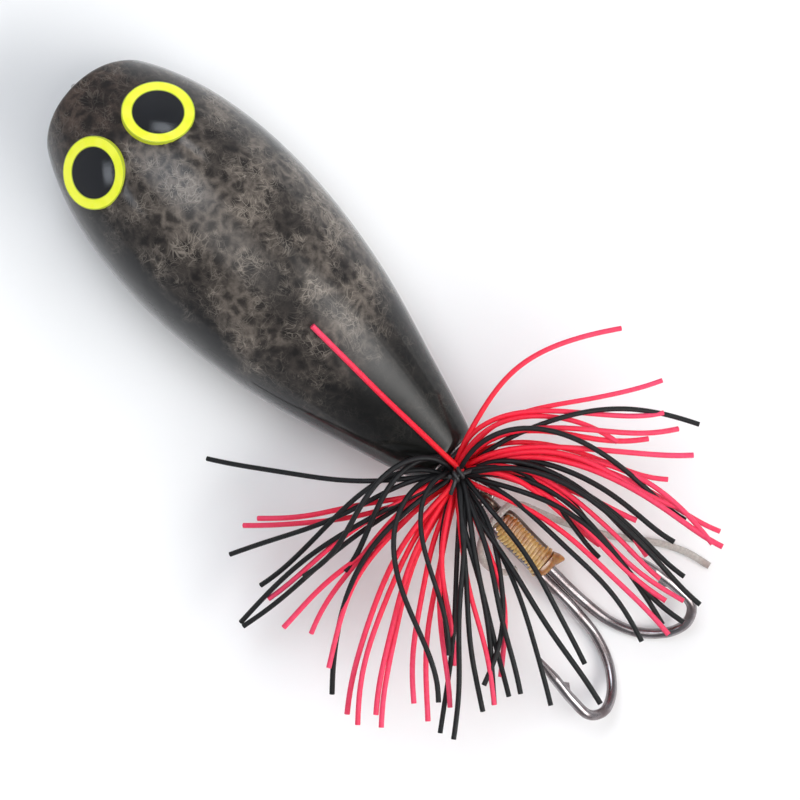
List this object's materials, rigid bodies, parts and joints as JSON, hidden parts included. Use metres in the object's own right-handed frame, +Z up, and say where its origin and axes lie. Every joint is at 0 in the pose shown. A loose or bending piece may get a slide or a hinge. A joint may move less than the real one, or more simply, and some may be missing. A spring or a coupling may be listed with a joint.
{
  "type": "topwater popper",
  "caption": "Frog-bodied surface fishing lure with a cupped mouth, domed eyes, a tied rubber strand skirt and lashed hooks that swing on a ring at the tail.",
  "frame": {"origin": "middle of the flat of the belly, on the surface the lure lies on, under the wire's axis", "axes": "+X towards the nose, +Y towards the frog's left side, +Z up through the back"},
  "size_m": [0.0787, 0.0453, 0.0178],
  "materials": {
    "shell_finish": "smoky black and grey-brown paint under a thick clear coat",
    "eye_iris": "lime-yellow under a clear dome",
    "eye_pupil": "gloss black",
    "eye_lens": "clear domed resin",
    "steel_wire": "drawn stainless wire",
    "black_steel": "polished black nickel",
    "weight_metal": "dull grey casting",
    "skirt_red": "smooth translucent rubber",
    "skirt_black": "smooth black rubber",
    "lashing": "tight turns of golden thread, resin soaked",
    "resin": "glossy amber resin",
    "cord": "braided off-white cord"
  },
  "bodies": {
    "lure_body": {"back_shell": "shell_finish", "belly_shell": "shell_finish", "belly_weight": "weight_metal", "tail_weight": "weight_metal", "through_wire": "steel_wire", "tail_ferrule": "black_steel", "eye_left_ring": "eye_iris", "eye_right_ring": "eye_iris", "eye_left_pupil": "eye_pupil", "eye_right_pupil": "eye_pupil", "eye_left_lens": "eye_lens", "eye_right_lens": "eye_lens", "skirt_band": "skirt_black", "skirt_tie": "skirt_black", "skirt_red_01": "skirt_red", "skirt_red_02": "skirt_red", "skirt_red_03": "skirt_red", "skirt_red_04": "skirt_red", "skirt_red_05": "skirt_red", "skirt_red_06": "skirt_red", "skirt_black_01": "skirt_black", "skirt_black_02": "skirt_black", "skirt_black_03": "skirt_black", "skirt_black_04": "skirt_black", "skirt_black_05": "skirt_black", "skirt_black_06": "skirt_black", "skirt_black_07": "skirt_black"},
    "swing_ring": {"swing_ring": "steel_wire"},
    "hooks": {"hanger_wire": "steel_wire", "hook_left": "black_steel", "hook_right": "black_steel", "lashing_thread": "lashing", "resin_bead": "resin", "backing_cord": "cord"}
  },
  "joints": [
    {"name": "hook_pitch", "type": "hinge", "parent": "lure_body", "child": "swing_ring", "pos_m": [-0.0313, 0, 0.0076], "axis": [0, 1, 0], "range_deg": [-60, 60], "deforming": ["skirt_red_01", "skirt_red_02", "skirt_red_03", "skirt_red_04", "skirt_red_05", "skirt_red_06", "skirt_black_01", "skirt_black_02", "skirt_black_03", "skirt_black_04", "skirt_black_05", "skirt_black_06", "skirt_black_07"]},
    {"name": "hook_yaw", "type": "hinge", "parent": "swing_ring", "child": "hooks", "pos_m": [-0.03252, 0, 0.00715], "axis": [-0.3469, 0, 0.9379], "range_deg": [-35, 35]}
  ]
}
